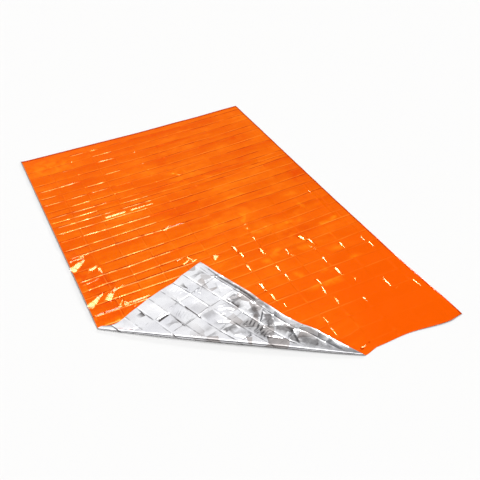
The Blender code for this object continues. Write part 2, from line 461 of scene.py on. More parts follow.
# painted patches: positive depth paints shade on the orange face and a pink reflection of the orange on the
# silvered flap; negative depth paints a sheen on the orange face
PAINTED_SHEEN_AND_SHADE = marks(Shade, (
    (40, 960, 90, 200, 110, 0.6, 0.5), (75, 1190, 80, 340, 170, 0.8, 0.5),
    (120, 1400, 0, 300, 160, 0.7, 0.5), (1290, 860, 90, 240, 110, 0.7, 0.6),
    (1050, 1310, 0, 220, 100, 0.7, 0.6), (950, 120, 0, 700, 120, 0.4, 0.8),
    (560, 560, 20, 300, 120, 0.4, 0.8), (760, 900, 10, 300, 120, 0.4, 0.8),
    (130, 140, 0, 380, 280, -0.8, 0.8), (640, 470, 10, 260, 160, -0.4, 0.8),
    (760, 600, -20, 240, 120, -0.6, 0.7), (1000, 760, -4, 440, 100, -0.4, 0.8),
    (890, 1030, 70, 200, 90, -0.4, 0.7), (960, 1210, 10, 220, 120, -0.5, 0.7),
    (1150, 1170, -14, 300, 70, -0.4, 0.7), (800, 1500, 10, 300, 300, -0.2, 0.9),
    (1000, 1560, 10, 240, 200, -0.1, 0.9), (873, 884, 1, 260, 26, -1.6, 0.6),
    (870, 1080, 118, 120, 30, -1.5, 0.6), (872, 1217, 20, 70, 40, -1.4, 0.7),
    (1064, 1219, 0, 150, 30, -1.3, 0.6), (1224, 1300, -10, 130, 26, -1.8, 0.6),
    (852, 1410, -27, 160, 24, -1.7, 0.6), (1016, 1424, 30, 70, 50, -1.4, 0.7),
    (1022, 1310, -33, 90, 22, -1.4, 0.6), (968, 1683, -3, 220, 18, -1.5, 0.6),
    (1019, 1613, 40, 60, 40, -1.2, 0.7), (897, 1586, 70, 60, 44, -1.3, 0.7),
    (727, 1075, -4, 110, 40, -1.2, 0.7), (744, 532, 6, 140, 22, -1.5, 0.6),
    (1054, 958, 4, 150, 28, -1.0, 0.7), (1166, 1008, 0, 120, 26, -0.9, 0.7),
    (1171, 1123, 60, 60, 30, -1.2, 0.7), (1130, 1500, -8, 120, 16, -1.0, 0.6),
    (1190, 1590, -4, 110, 16, -1.0, 0.6), (1110, 1780, -4, 120, 14, -1.0, 0.6),
    (100, 1525, 32, 90, 16, 0.9, 0.6), (75, 1578, 42, 80, 14, 0.8, 0.6),
))
# columns: across, down, heading, length, width, taper
KEY_FACETS = (
    (316, 750, -1, 124, 22, 0.0), (455, 748, -1, 140, 16, 0.3), (195, 1001, -1, 150, 13, 0.3),
    (345, 994, -1, 100, 11, 0.3), (550, 982, -1, 90, 10, 0.2), (500, 985, -28, 50, 22),
    (40, 1056, -36, 110, 60, 0.8), (50, 1014, -4, 90, 12, 0.2), (95, 1110, -20, 60, 30),
    (122, 1142, 85, 55, 18), (48, 1325, -38, 120, 46, 0.8), (118, 1318, -50, 105, 46, 0.85),
    (80, 1412, -3, 160, 22, 0.3), (205, 1402, -3, 140, 17, 0.3), (60, 1478, 0, 110, 16),
    (140, 1470, -8, 60, 10), (474, 1232, -10, 40, 11), (512, 1250, 62, 44, 14), (488, 1266, -24, 50, 14),
    (526, 1272, -12, 36, 14), (619, 1301, 124, 40, 42, 0.95), (40, 1452, -4, 100, 9, 0.2),
    (185, 1432, -30, 40, 12, 0.4), (56, 1240, -24, 50, 11), (140, 1386, -50, 40, 12),
    (162, 1396, 40, 34, 11), (148, 1300, -24, 60, 12), (45, 1503, -3, 70, 8), (100, 1455, -6, 60, 9),
    (85, 1000, -10, 60, 14, 0.4),
)
SIDE_FACETS = (
    (727, 1290, 78, 62, 20, 0.4), (735, 1340, 84, 44, 19, 0.4), (829, 1360, 88, 70, 18, 0.5),
    (1042, 1365, 66, 62, 26, 0.5), (1064, 1405, 74, 54, 20), (722, 1435, 90, 70, 14),
    (930, 1420, 97, 64, 11), (1176, 1497, 86, 60, 15), (1288, 1500, 88, 50, 11),
    (1298, 1555, 86, 50, 10), (718, 1580, 88, 72, 25), (836, 1505, 86, 50, 15), (842, 1575, 90, 64, 14),
    (1050, 1548, 95, 44, 13), (1061, 1647, 88, 68, 19), (728, 1660, 88, 70, 14), (949, 1668, 86, 46, 17),
    (939, 1722, 102, 62, 15), (1096, 1730, 104, 34, 15), (1203, 1812, 90, 56, 16),
    (839, 1261, 88, 34, 13), (1058, 1850, 92, 36, 10), (950, 1805, 98, 56, 10), (1214, 1866, 94, 30, 10),
    (748, 1725, 100, 34, 9), (1312, 1870, 86, 64, 12), (765, 1795, 100, 34, 10), (848, 1885, 90, 56, 9),
    (842, 1960, 92, 40, 7), (1210, 2030, 108, 45, 8), (905, 2073, 0, 60, 10), (1272, 1048, 60, 20, 10),
)
FACETS = marks(Facet, KEY_FACETS, KEY_LAMP) + marks(Facet, SIDE_FACETS, SIDE_LAMP)
# columns: crease, start, end, strength
GLEAMS = table(
    Gleam,
    (1, 0.26, 0.34, 0.6), (1, 0.39, 0.42, 0.6), (2, 0.37, 0.49, 0.6), (3, 0.17, 0.21, 0.6),
    (3, 0.38, 0.47, 0.6), (4, 0.03, 0.07, 0.6), (5, 0.02, 0.22, 0.6), (5, 0.38, 0.47, 0.6),
    (6, 0.01, 0.09, 0.6), (6, 0.26, 0.36, 0.6), (7, 0.04, 0.12, 0.6), (7, 0.15, 0.24, 0.6),
    (7, 0.29, 0.35, 0.6), (8, 0.14, 0.21, 0.6), (8, 0.29, 0.36, 0.6), (9, 0.01, 0.3, 0.75),
    (10, 0.08, 0.25), (10, 0.39, 0.52), (11, 0.03, 0.26, 0.75), (11, 0.36, 0.52, 0.75),
    (12, 0.06, 0.48, 0.75), (13, 0.12, 0.47), (14, 0.02, 0.48, 0.75), (15, 0.06, 0.6), (16, 0.15, 0.45),
    (17, 0.03, 0.46), (18, 0.04, 0.47, 0.75), (19, 0.13, 0.52), (20, 0.08, 0.44), (21, 0.02, 0.26, 0.75),
    (22, 0.02, 0.14, 0.75),
)


@dataclass(frozen=True)
class CreaseForce:
    """How strongly the creases show down the sheet, at one distance from its left edge."""

    across: float
    cross: tuple[float, ...]
    long: tuple[float, ...]


FORCE_DOWN = (0.000, 0.350, 0.750, 1.150, 1.350, 1.750, 2.110)
# columns: across, cross, long
CREASE_FORCES = table(
    CreaseForce,
    (0.0, (0.5, 0.8, 0.9, 1.2, 1.2, 1.1, 1.1), (0.1, 0.2, 0.4, 0.6, 0.8, 1.0, 1.1)),
    (0.25, (0.6, 0.8, 0.9, 1.2, 1.2, 1.1, 1.1), (0.1, 0.2, 0.5, 0.6, 0.8, 1.0, 1.1)),
    (0.5, (0.6, 0.7, 0.8, 1.0, 1.2, 1.1, 1.1), (0.1, 0.2, 0.2, 0.3, 0.7, 1.0, 1.1)),
    (0.72, (0.8, 0.9, 0.9, 0.7, 0.7, 0.5, 0.6), (0.0, 0.0, 0.0, 0.2, 0.6, 0.5, 0.5)),
    (1.05, (0.9, 1.0, 1.0, 0.6, 0.6, 0.1, 0.0), (0.0, 0.0, 0.0, 0.1, 0.5, 0.1, 0.0)),
    (1.35, (0.9, 1.0, 1.0, 0.6, 0.4, 0.1, 0.0), (0.0, 0.0, 0.0, 0.2, 0.4, 0.1, 0.0)),
)


def crease_force(across: Field, down: Field, kind: str) -> Field:
    """Read how strongly creases show at each place.

    Args:
        across, down: Places on the flat sheet.
        kind: Either cross or long.

    Returns:
        The share of a full crease at each place.
    """
    stations = [force.across for force in CREASE_FORCES]
    rows = np.array([np.interp(down, FORCE_DOWN, getattr(force, kind)) for force in CREASE_FORCES])
    column = np.clip(np.searchsorted(stations, across) - 1, 0, len(stations) - 2)
    low, high = np.take(stations, column), np.take(stations, column + 1)
    share = np.clip((across - low) / (high - low), 0.0, 1.0)
    take = np.arange(len(across))
    return rows[column, take] * (1.0 - share) + rows[column + 1, take] * share


# The folds


@dataclass(frozen=True)
class TurnedCorner:
    """The front left corner, turned over the sheet on a loose bend.

    Single places are complex numbers here: across the sheet, and down it as the imaginary part.
    """

    left_end: complex = 0.000 + 1.492j
    front_end: complex = 0.877 + 2.110j
    corner: complex = 0.000 + 2.110j
    radius_end: float = 3.2 * MM
    radius_middle: float = 9.0 * MM
    swell_power: float = 0.7
    level: float = 10.0 * MM
    settle: float = 150 * MM
    drawn_in: float = 0.951
    slip: float = 0.049
    press_margin: float = 110 * MM
    bow: float = 13 * MM
    bow_reach: float = 220 * MM

    @property
    def length(self) -> float:
        """Give the fold's length."""
        return abs(self.front_end - self.left_end)

    @property
    def direction(self) -> complex:
        """Give the fold's direction, from its left end to its front end."""
        return (self.front_end - self.left_end) / self.length

    def split(self, across: Field, down: Field) -> tuple[Field, Field]:
        """Give each place's distance along the fold and past it."""
        place = (across + 1j * down - self.left_end) / self.direction
        return place.real, place.imag

    def join(self, along: Field, past: Field) -> tuple[Field, Field]:
        """Give the place across and down the sheet for distances along the fold and past it."""
        place = self.left_end + self.direction * (along + 1j * past)
        return place.real, place.imag

    def swell(self, along: Field) -> Field:
        """Give how loose the bend is along the fold: 0 at both edges and 1 midway."""
        return np.sin(math.pi * np.clip(along / self.length, 0.0, 1.0)) ** self.swell_power

    def radius(self, along: Field) -> Field:
        """Give the bend's radius along the fold."""
        return self.radius_end + (self.radius_middle - self.radius_end) * self.swell(along)

    def turn(self, along: Field, past: Field, height: Field) -> tuple[Field, Field, Field]:
        """Turn points over the fold.

        Args:
            along: Distances along the fold.
            past: Distances past it.
            height: Heights on the orange side.

        Returns:
            The places along the fold, past it and above the floor.
        """
        radius = self.radius(along)
        angle = np.clip((past + radius) / radius, 0.0, math.pi)
        reach = radius - height
        length = past - (math.pi - 1.0) * radius
        flap_level = 2.0 * radius + (self.level - 2.0 * radius) * ease(length / self.settle) - height
        flap_past = -radius - length * self.drawn_in
        flat, flap = past <= -radius, length >= 0.0
        new_along = np.where(flap, along - length * self.slip, along)
        new_past = np.where(flat, past, np.where(flap, flap_past, -radius + reach * np.sin(angle)))
        level = np.where(flat, height, np.where(flap, flap_level, radius - reach * np.cos(angle)))
        return new_along, new_past, level

    def bowed(self, along: Field, past: Field) -> Field:
        """Give distances past the fold once the loose fold bows out between its ends."""
        return past + self.bow * self.swell(along) * ease(1.0 + past / self.bow_reach)

    def tip(self) -> complex:
        """Give where the corner of the turned flap lies on the sheet."""
        along, past = self.split(np.array([self.corner.real]), np.array([self.corner.imag]))
        along, past, _ = self.turn(along, past, np.zeros(1))
        across, down = self.join(along, past)
        return complex(across[0], down[0])

    def pressed(self, across: Field, down: Field) -> Field:
        """Give the share, 0 to 1, by which the flap holds the sheet down at each place."""
        tip, inside = self.tip(), np.inf
        for start, end in ((self.left_end, tip), (tip, self.front_end)):
            turned = (across + 1j * down - start) / (end - start) * abs(end - start)
            inside = np.minimum(inside, turned.imag)
        return ease(1.0 + inside / self.press_margin)


@dataclass(frozen=True)
class Panels:
    """Where places lie among the panels that the creases divide the sheet into.

    Rows count the strips between cross creases, and columns those between long creases. The
    distances run to each panel's own four creases, and low and high are the heights of its
    upper and lower cross crease.
    """

    across: Field
    down: Field
    row: Field
    column: Field
    share_x: Field
    share_y: Field
    left: Field
    right: Field
    top: Field
    bottom: Field
    low: Field
    high: Field
    end_x: float = 0.08
    end_y: float = 0.14

    def middle_x(self) -> Field:
        """Give 1 over a panel's width, easing to 0 at its left and right creases."""
        return midway(self.share_x, self.end_x)

    def middle_y(self) -> Field:
        """Give 1 down a panel's length, easing to 0 at its cross creases."""
        return midway(self.share_y, self.end_y)


@dataclass
class Relief:
    """The film's height, and its painted highlight, shade and glow on lit, shaded and gleaming flanks."""

    height: Field
    light: Field
    dark: Field
    gleam: Field


@dataclass(frozen=True)
class CreasePattern:
    """The relief of a sheet that was pleated across its width, then folded down its length."""

    valley_flat: float = 5.0 * MM
    valley_lift: float = 0.5 * MM
    front_lift: float = 0.4 * MM
    crest_share: float = 0.42
    crest_uneven: float = 0.35
    falls_uneven: float = 0.7
    cross_slope: float = 0.17
    cross_width: float = 5.0 * MM
    cross_uneven: float = 0.40
    cross_waver: float = 0.06
    waver_pitch: float = 21 * MM
    steady_from: float = 0.40
    steady_to: float = 1.25
    steady_fade: float = 0.20
    steady_calm: float = 0.75
    held: float = 0.35
    held_steady: float = 0.60
    long_slope: float = 0.15
    long_width: float = 5.4 * MM
    long_uneven: float = 0.60
    kink: float = 2.2 * MM
    pillow: float = 0.6 * MM
    bulge: float = 0.9 * MM
    twist: float = 0.8 * MM
    crossing: float = 3.6 * MM
    crossing_width: float = 8.0 * MM
    base: float = 1.9 * MM
    flap_loose: float = 2.8
    flap_line: float = 0.52
    edge_dip: float = 1.8 * MM
    edge_curl: float = 3.2 * MM
    curl_width: float = 12.0 * MM
    curl_uneven: float = 0.5
    curl_pitch: float = 60 * MM
    edge_width: float = 5.0 * MM
    edge_calm: float = 30.0 * MM
    edge_share: float = 0.35
    line_reach: float = 8.0 * MM
    line_gain: float = 1.1
    long_light: float = 0.7
    open_from: tuple[float, float] = (0.45, 1.10)
    open_fade: tuple[float, float] = (0.20, 0.15)

    def edges(self, across: Field, down: Field) -> Field:
        """Give how the film dips at its back, right and front edges and curls at its left one."""
        resting = np.minimum(np.minimum(down, WIDTH - across), LENGTH - down)
        dip = -self.edge_dip * np.exp(-resting / self.edge_width)
        waver = 1.0 + self.curl_uneven * rolling(across, down, self.curl_pitch, 11.0)
        return dip + self.edge_curl * waver * np.exp(-across / self.curl_width)

    def long_stations(self) -> Field:
        """Give the left edge, the long creases and the right edge."""
        return np.array([0.0, *LONG_CREASES, WIDTH])

    def cross_lines(self, across: Field) -> tuple[Field, Field]:
        """Give the back edge, each cross crease and the front edge, uneven along their length.

        Args:
            across: Places across the sheet.

        Returns:
            How far down the sheet each line runs, and how high it stands, a row for each line.
        """
        stations = self.long_stations()
        lines, heights = [np.zeros_like(across)], [np.zeros_like(across)]
        for index, crease in enumerate(CROSS_CREASES):
            kinks = self.kink * uneven(np.arange(len(stations)), index, 8.0)
            straight = crease.left + (crease.right - crease.left) * across / WIDTH
            lines.append(straight + np.interp(across, stations, kinks))
            scatter = uneven(np.arange(len(stations)), index, 1.0)
            height = self.valley_lift * (1.0 + scatter)
            if crease.height > 0.0:
                height = crease.height * self.crest_share * (1.0 + self.crest_uneven * scatter)
            heights.append(np.interp(across, stations, height))
        lines.append(np.full_like(across, LENGTH))
        heights.append(np.full_like(across, self.front_lift))
        return np.stack(lines), np.stack(heights)

    def panels(self, across: Field, down: Field) -> Panels:
        """Find where places lie among the panels.

        Args:
            across, down: Places on the flat sheet.

        Returns:
            Their rows, columns, shares and distances, and the crest heights above and below.
        """
        lines, crests = self.cross_lines(across)
        row = np.clip((down[None, :] > lines).sum(0) - 1, 0, len(lines) - 2)
        take = np.arange(len(across))
        top, bottom = lines[row, take], lines[row + 1, take]
        stations = self.long_stations()
        column = np.clip(np.searchsorted(stations, across) - 1, 0, len(stations) - 2)
        left, right = stations[column], stations[column + 1]
        return Panels(
            across=across,
            down=down,
            row=row,
            column=column,
            share_x=(across - left) / (right - left),
            share_y=np.clip((down - top) / (bottom - top), 0.0, 1.0),
            left=across - left,
            right=right - across,
            top=down - top,
            bottom=bottom - down,
            low=crests[row, take],
            high=crests[row + 1, take],
        )

    def pleats(self, at: Panels) -> Field:
        """Give the height of the pleats, straight between creases and flat beside each valley."""
        flat = self.valley_flat / (at.top + at.bottom)
        rising = np.maximum(0.0, (at.share_y - flat) / (1.0 - flat))
        falling = np.minimum(1.0, at.share_y / (1.0 - flat))
        return at.low + (at.high - at.low) * np.where(at.row % 2 == 0, rising, falling)

    def pleat_tones(self, across: Field, down: Field) -> tuple[Field, Field]:
        """Tell a panel that falls away from one that rises, and how near its upper crease is, for painted
        pleat shading.

        Args:
            across, down: Places on the flat sheet.

        Returns:
            A share of 1 in the panels that fall away, uneven from one to another, and a share that
            runs from 1 at each ridge to 0 at each valley.
        """
        at = self.panels(across, down)
        falls = (at.row % 2) * (1.0 + self.falls_uneven * uneven(at.row, at.column // 2, 14.0))
        share = np.clip(at.top / np.maximum(at.top + at.bottom, 1e-6), 0.0, 1.0)
        return falls, np.where(at.row % 2 == 1, 1.0 - share, share)

    def bows(self, at: Panels) -> Field:
        """Give how far each panel bows and twists across its middle, a little of its own."""
        bulge = self.bulge * uneven(at.row, at.column, 2.0) * np.sin(math.pi * at.share_x)
        return bulge + self.twist * uneven(at.row, at.column, 6.0) * np.sin(2 * math.pi * at.share_x)

    def own_slope(self, at: Panels, before: bool, loose: Field) -> Field:
        """Give how a panel rises down the sheet beside the cross crease above or below it.

        Args:
            at: The places among the panels.
            before: True for the crease below the panel, and False for the one above it.
            loose: How many times more the panels bow on the turned flap.

        Returns:
            The panel's slope beside the crease, without the crease's own flank.
        """
        span = at.top + at.bottom
        crest = (at.row % 2 == 0) == before
        pleat = np.where(crest, (at.high - at.low) / (span - self.valley_flat), 0.0)
        return pleat + self.bows(at) * loose * math.pi / span * (-1.0 if before else 1.0)

    def cross_folds(self, at: Panels, out: Relief, loose: Field, share: Field) -> None:
        """Add the cross creases: odd ones stand up and even ones stay down, unevenly.

        Args:
            at: The places among the panels.
            out: The relief that gets the creases.
            loose: How many times more the panels bow on the turned flap.
            share: The share of the height that is left where the sheet is pressed down.
        """
        cross_force = crease_force(at.across, at.down, "cross")
        catching = -catching_slopes(at.across, at.down, KEY_LAMP)[1]
        waver = 1.0 + self.cross_waver * rolling(at.across, at.down, self.waver_pitch, 21.0)
        steady = ease((at.across - self.steady_from) / self.steady_fade)
        steady *= ease((self.steady_to - at.down) / self.steady_fade)
        held = self.held + self.held_steady * steady
        strayed = self.cross_uneven * (1.0 - self.steady_calm * steady)
        for distance, line, before in ((at.top, at.row, False), (at.bottom, at.row + 1, True)):
            inner = ((line > 0) & (line <= len(CROSS_CREASES))).astype(float)
            force = 1.0 + strayed * uneven(line, at.column, 4.0)
            slope = self.cross_slope * cross_force * (held + (force - held) * at.middle_x())
            gleam = sum(stretch.reach(line, at.across) for stretch in GLEAMS)
            shine = sum(stretch.reach(line, at.across) * stretch.strength for stretch in GLEAMS)
            full = (0.5 + 0.5 * shine) * gleam / np.maximum(share, 0.1)
            own = self.own_slope(at, before, loose) * gleam
            slope = inner * (slope * (1.0 - gleam) + catching * waver * full + own)
            near, up = distance < self.cross_width, line % 2 == 1
            flank = np.maximum(0.0, self.cross_width - distance)
            out.height += np.where(up, slope, -slope) * flank
            strength = np.clip(self.line_gain * slope / self.cross_slope, 0.0, 1.2)
            strength = strength * np.where(near, 1.0, 0.5 * (distance < self.line_reach))
            # the lit flank gets painted highlight, the shaded flank painted shade, gleaming stretches
            # painted glow
            lit = (up != before) & near
            out.light = np.maximum(out.light, np.where(lit, strength, 0.0))
            out.dark = np.maximum(out.dark, np.where(up == before, strength * (1.0 + 0.6 * gleam), 0.0))
            out.gleam = np.maximum(out.gleam, np.where(lit, shine, 0.0))

    def long_folds(self, at: Panels, out: Relief, flap: Field, open_share: Field) -> None:
        """Add the long creases: each turns from ridge to valley at every cross crease.

        Args:
            at: The places among the panels.
            out: The relief that gets the creases.
            flap: 1 on the turned flap and 0 elsewhere.
            open_share: 1 where the sheet lies most open, and 0 elsewhere.
        """
        long_force = crease_force(at.across, at.down, "long") * at.middle_y()
        for distance, line, before in ((at.left, at.column, False), (at.right, at.column + 1, True)):
            inner = (line > 0) & (line <= len(LONG_CREASES))
            force = inner * long_force * (1.0 + self.long_uneven * uneven(at.row, line, 5.0))
            up = (at.row + line) % 2 == 0
            flank = np.maximum(0.0, 1.0 - distance / self.long_width)
            lift = self.long_slope * self.long_width * flank
            lift += self.pillow * (1.0 - distance / (at.left + at.right))
            out.height += np.where(up, force, -force) * lift
            # one flank of each long crease gets painted highlight, the other painted shade
            strength = np.clip(self.line_gain * force, 0.0, self.line_gain) * (flank > 0.02)
            lit = self.long_light * (1.0 - 0.75 * open_share) * np.where(up == before, strength, 0.0)
            out.light = np.maximum(out.light, lit)
            out.dark = np.maximum(out.dark, (0.5 + 0.5 * flap) * np.where(up != before, strength, 0.0))

    def buckles(self, at: Panels) -> Field:
        """Give how the film buckles on the diagonal where creases cross."""
        step_x = np.where(at.share_x < 0.5, at.left, -at.right) / self.crossing_width
        step_y = np.where(at.share_y < 0.5, at.top, -at.bottom) / self.crossing_width
        turn = uneven(np.round(at.column + at.share_x), np.round(at.row + at.share_y), 3.0)
        return self.crossing * turn * step_x * step_y * np.exp(-(step_x**2 + step_y**2) / 2.0)

    def relief(self, across: Field, down: Field, flap: Field, share: Field) -> Relief:
        """Give the creased sheet's height over the floor, and the painted light and shade of its creases.

        Args:
            across, down: Places on the flat sheet.
            flap: 1 on the turned flap, where the folds are more open, and 0 elsewhere.
            share: The share of the height that is left where the sheet is pressed down.

        Returns:
            The relief at each place.
        """
        at = self.panels(across, down)
        out = Relief(self.pleats(at), *np.zeros((3, len(across))))
        loose = 1.0 + flap * (self.flap_loose - 1.0)
        open_share = ease((across - self.open_from[0]) / self.open_fade[0])
        open_share *= ease((down - self.open_from[1]) / self.open_fade[1]) * (1.0 - flap)
        self.cross_folds(at, out, loose, share)
        self.long_folds(at, out, flap, open_share)
        out.height += self.bows(at) * loose * np.sin(math.pi * at.share_y) + self.buckles(at)
        calm = self.edge_share + (1.0 - self.edge_share) * ease((WIDTH - across) / self.edge_calm)
        out.height = (out.height * calm + self.base + self.edges(across, down)) * share
        out.light = np.clip(out.light * (1.0 + open_share), 0.0, 1.4)
        fainter = (1.0 - (1.0 - self.flap_line) * flap) * (1.0 - 0.5 * open_share)
        out.dark = np.clip(out.dark, 0.0, 1.6) * fainter
        return out


@dataclass(frozen=True)
class Outline:
    """The sheet's edges as they lie, a little off straight."""

    front_reach: float = 250 * MM
    flap_reach: float = 200 * MM

    @staticmethod
    def read(rows: tuple[EdgePoint, ...], distance: Field) -> Field:
        """Read an edge's shift at distances along it, eased between the rows of its table."""
        shift = np.full_like(distance, rows[0].shift)
        for low, high in zip(rows, rows[1:]):
            share = ease((distance - low.along) / (high.along - low.along))
            shift += (high.shift - low.shift) * share
        return shift

    def draw_in(self, across: Field, down: Field) -> tuple[Field, Field]:
        """Draw in the turned flap's two edges, and give its places on the flat sheet."""
        side = self.read(FLAP_SIDE, down) * ease(1.0 - across / self.flap_reach)
        front = self.read(FLAP_FRONT, across) * ease(1.0 - (LENGTH - down) / self.flap_reach)
        return across + side, down - front

    def place(self, across: Field, down: Field) -> tuple[Field, Field]:
        """Give the X and Y of places on the sheet, with its edges' shifts."""
        sideways = self.read(RIGHT_EDGE, down) * across / WIDTH
        forward = self.read(BACK_EDGE, across) * (1.0 - down / LENGTH)
        forward += self.read(FRONT_EDGE, across) * ease(1.0 - (LENGTH - down) / self.front_reach)
        return across + sideways - ORIGIN_ACROSS, ORIGIN_DOWN - down - forward


# Finishes


class FilmSide(Enum):
    """The two faces of the film and its cut edge, in the order of their material slots."""

    ORANGE = 0
    SILVER = 1
    EDGE = 2


@dataclass(frozen=True)
class Signal:
    """A node's output, with the sums that finishes need."""

    board: "NodeBoard"
    socket: bpy.types.NodeSocket

    def __add__(self, other: object) -> "Signal":
        """Add a number or another signal."""
        return self.board.math("ADD", self, other)

    def __mul__(self, other: object) -> "Signal":
        """Multiply by a number or another signal."""
        return self.board.math("MULTIPLY", self, other)

    def line(self, factor: float, offset: object) -> "Signal":
        """Multiply by a factor and add an offset."""
        return self.board.math("MULTIPLY_ADD", self, factor, offset)

    def above(self, least: float) -> "Signal":
        """Hold the signal above a least value."""
        return self.board.math("MAXIMUM", self, least)

    def below(self, most: object) -> "Signal":
        """Hold the signal below a greatest value."""
        return self.board.math("MINIMUM", self, most)


@dataclass(frozen=True)
class NodeBoard:
    """The node tree of a material or world, with short ways to add and join nodes."""

    owner: bpy.types.ID

    @classmethod
    def fresh(cls, owner: bpy.types.ID) -> "NodeBoard":
        """Empty the node tree of a material or world."""
        owner.use_nodes = True
        owner.node_tree.nodes.clear()
        return cls(owner)

    def put(self, slot: bpy.types.NodeSocket, value: object) -> None:
        """Join a signal or an output to an input, or give the input a value or a colour."""
        if isinstance(value, Signal):
            value = value.socket
        if isinstance(value, bpy.types.NodeSocket):
            self.owner.node_tree.links.new(value, slot)
        elif isinstance(value, tuple) and slot.type == "RGBA":
            slot.default_value = (*value, 1.0)
        else:
            slot.default_value = value

    def add(self, kind: str, **settings: object) -> bpy.types.Node:
        """Add a node, and set its properties and, by socket name, its inputs."""
        node = self.owner.node_tree.nodes.new(kind)
        for name, value in settings.items():
            if hasattr(node, name):
                setattr(node, name, value)
            else:
                self.put(node.inputs[name.replace("_", " ")], value)
        return node

    def math(self, operation: str, *values: object, kind: str = "ShaderNodeMath") -> Signal:
        """Add a math node on signals or numbers."""
        node = self.add(kind, operation=operation)
        for slot, value in zip(node.inputs, values):
            self.put(slot, value)
        return Signal(self, node.outputs[0])

    def mix(self, share: object, first: object, second: object) -> Signal:
        """Blend two colours by a share."""
        node = self.add("ShaderNodeMix", data_type="RGBA")
        for index, value in ((0, share), (6, first), (7, second)):
            self.put(node.inputs[index], value)
        return Signal(self, node.outputs[2])

    def place(self, across: float = 1.0, down: float = 1.0) -> bpy.types.NodeSocket:
        """Give the place on the flat film in metres, scaled across and down the sheet."""
        film = self.add("ShaderNodeUVMap", uv_map="film").outputs[0]
        return self.add("ShaderNodeMapping", Vector=film, Scale=(across, down, 1.0)).outputs[0]

    def sides(self) -> tuple[Signal, Signal]:
        """Give the distances across the flat film and down it."""
        parts = self.add("ShaderNodeSeparateXYZ", Vector=self.place())
        return Signal(self, parts.outputs[0]), Signal(self, parts.outputs[1])

    def noise(self, across: float, down: float = 0.0, detail: float = 2.0, bend: float = 0.0) -> Signal:
        """Add a noise on the film, as fine across and down the sheet as told."""
        place = self.place(across, down or across)
        node = self.add("ShaderNodeTexNoise", Vector=place, Scale=1.0, Detail=detail, Distortion=bend)
        return Signal(self, node.outputs[0])

    def share(self, name: str) -> Signal:
        """Give one of the shares kept on the mesh."""
        return Signal(self, self.add("ShaderNodeAttribute", attribute_name=name).outputs["Fac"])

    def finish(self, **inputs: object) -> bpy.types.Material:
        """Add the shader with its inputs and the output, and give the material."""
        shader = self.add("ShaderNodeBsdfPrincipled", **inputs)
        self.add("ShaderNodeOutputMaterial", Surface=shader.outputs[0])
        return self.owner


